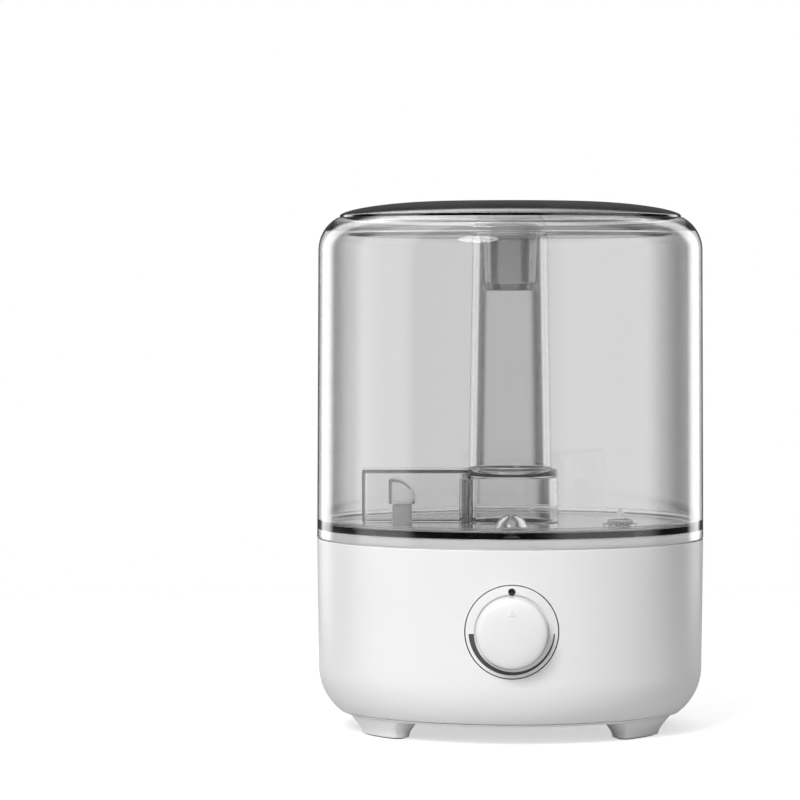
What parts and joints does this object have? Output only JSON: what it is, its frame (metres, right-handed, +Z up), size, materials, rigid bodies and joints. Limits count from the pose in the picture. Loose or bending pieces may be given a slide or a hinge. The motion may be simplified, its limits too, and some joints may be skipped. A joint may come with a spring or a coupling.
{
  "type": "cool mist humidifier",
  "caption": "Round tabletop ultrasonic cool mist humidifier: white base with a turning mist knob, clear lift-off tank with central mist tube, and smoked lift-off lid with a turning nozzle.",
  "frame": {"origin": "on the floor under the feet, at the middle of the overall box; the tank's axis stands 6.055 mm behind it, because only the knob stands proud of the round body", "axes": "+Z up along the tank's axis, +X to the object's right seen from the front, -Y towards the front with the knob"},
  "size_m": [0.198, 0.2102, 0.27],
  "materials": {
    "white_abs": "white ABS, satin moulded",
    "clear_plastic": "clear moulded styrene-acrylonitrile, polished",
    "smoked_plastic": "smoked moulded styrene-acrylonitrile, polished",
    "dark_print": "dark grey printed inlay",
    "foot_rubber": "grey silicone rubber pad",
    "silicone": "translucent silicone",
    "steel": "zinc-plated steel",
    "nickel_plate": "nickel-plated metal",
    "aluminium": "extruded aluminium",
    "circuit_board": "glass-epoxy board, green solder mask",
    "black_plastic": "black PBT, moulded",
    "red_lead": "red PVC wire",
    "ferrite": "sintered ferrite",
    "filter_foam": "open-cell filter foam",
    "float_foam": "white foamed polypropylene",
    "ceramic": "reed switch envelope"
  },
  "bodies": {
    "base": {"base_shell": "white_abs", "bottom_cover": "white_abs", "cover_screw_1": "steel", "cover_screw_2": "steel", "cover_screw_3": "steel", "cover_screw_4": "steel", "foot_front_right": "white_abs", "foot_pad_front_right": "foot_rubber", "foot_front_left": "white_abs", "foot_pad_front_left": "foot_rubber", "foot_rear_right": "white_abs", "foot_pad_rear_right": "foot_rubber", "foot_rear_left": "white_abs", "foot_pad_rear_left": "foot_rubber", "base_deck": "white_abs", "transducer_disc": "nickel_plate", "transducer_seal": "silicone", "transducer_clamp": "steel", "clamp_screw_1": "steel", "clamp_screw_2": "steel", "clamp_screw_3": "steel", "filter_cover": "white_abs", "filter_foam": "filter_foam", "fan_frame": "black_plastic", "air_duct": "white_abs", "outlet_hood": "clear_plastic", "driver_board": "circuit_board", "heat_sink": "aluminium", "driver_coil": "ferrite", "driver_capacitor": "black_plastic", "dial_panel": "white_abs", "mist_scale": "dark_print", "indicator_window": "black_plastic", "indicator_board": "circuit_board", "potentiometer": "nickel_plate", "potentiometer_nut": "steel", "power_inlet": "black_plastic", "inlet_pin": "nickel_plate", "inlet_lead": "black_plastic", "transducer_lead": "red_lead", "float_retainer": "white_abs", "reed_switch": "ceramic"},
    "knob": {"knob": "white_abs", "knob_shaft": "nickel_plate"},
    "impeller": {"fan_impeller": "black_plastic", "fan_shaft": "steel"},
    "float": {"float_ring": "float_foam", "float_magnet": "ferrite"},
    "tank": {"tank_wall": "clear_plastic", "tank_floor": "clear_plastic", "mist_chamber": "clear_plastic", "mist_tube": "clear_plastic", "chamber_seal": "silicone", "valve_guide": "white_abs", "valve_spring": "steel"},
    "valve": {"valve_plunger": "white_abs", "valve_seal": "silicone"},
    "lid": {"lid": "smoked_plastic"},
    "nozzle": {"nozzle_cap": "smoked_plastic", "nozzle_sleeve": "smoked_plastic"}
  },
  "joints": [
    {"name": "knob_turn", "type": "hinge", "parent": "base", "child": "knob", "pos_m": [0, -0.09395, 0.0575], "axis": [0, 1, 0], "range_deg": [0, 270]},
    {"name": "fan_spin", "type": "hinge", "parent": "base", "child": "impeller", "pos_m": [-0.03435, 0.00605, 0.025], "axis": [0, 0, 1], "continuous": true},
    {"name": "float_rise", "type": "slide", "parent": "base", "child": "float", "axis": [0, 0, 1], "range_m": [0, 0.004]},
    {"name": "tank_lift", "type": "slide", "parent": "base", "child": "tank", "axis": [0, 0, 1], "range_m": [0, 0.12]},
    {"name": "valve_travel", "type": "slide", "parent": "tank", "child": "valve", "axis": [0, 0, 1], "range_m": [-0.002, 0], "deforming": ["valve_spring"]},
    {"name": "lid_lift", "type": "slide", "parent": "tank", "child": "lid", "axis": [0, 0, 1], "range_m": [0, 0.08]},
    {"name": "nozzle_turn", "type": "hinge", "parent": "lid", "child": "nozzle", "pos_m": [0, 0.00605, 0.265], "axis": [0, 0, 1], "continuous": true}
  ],
  "couplings": [
    {"joint": "valve_travel", "follows": "tank_lift", "ratio": -0.0166}
  ]
}
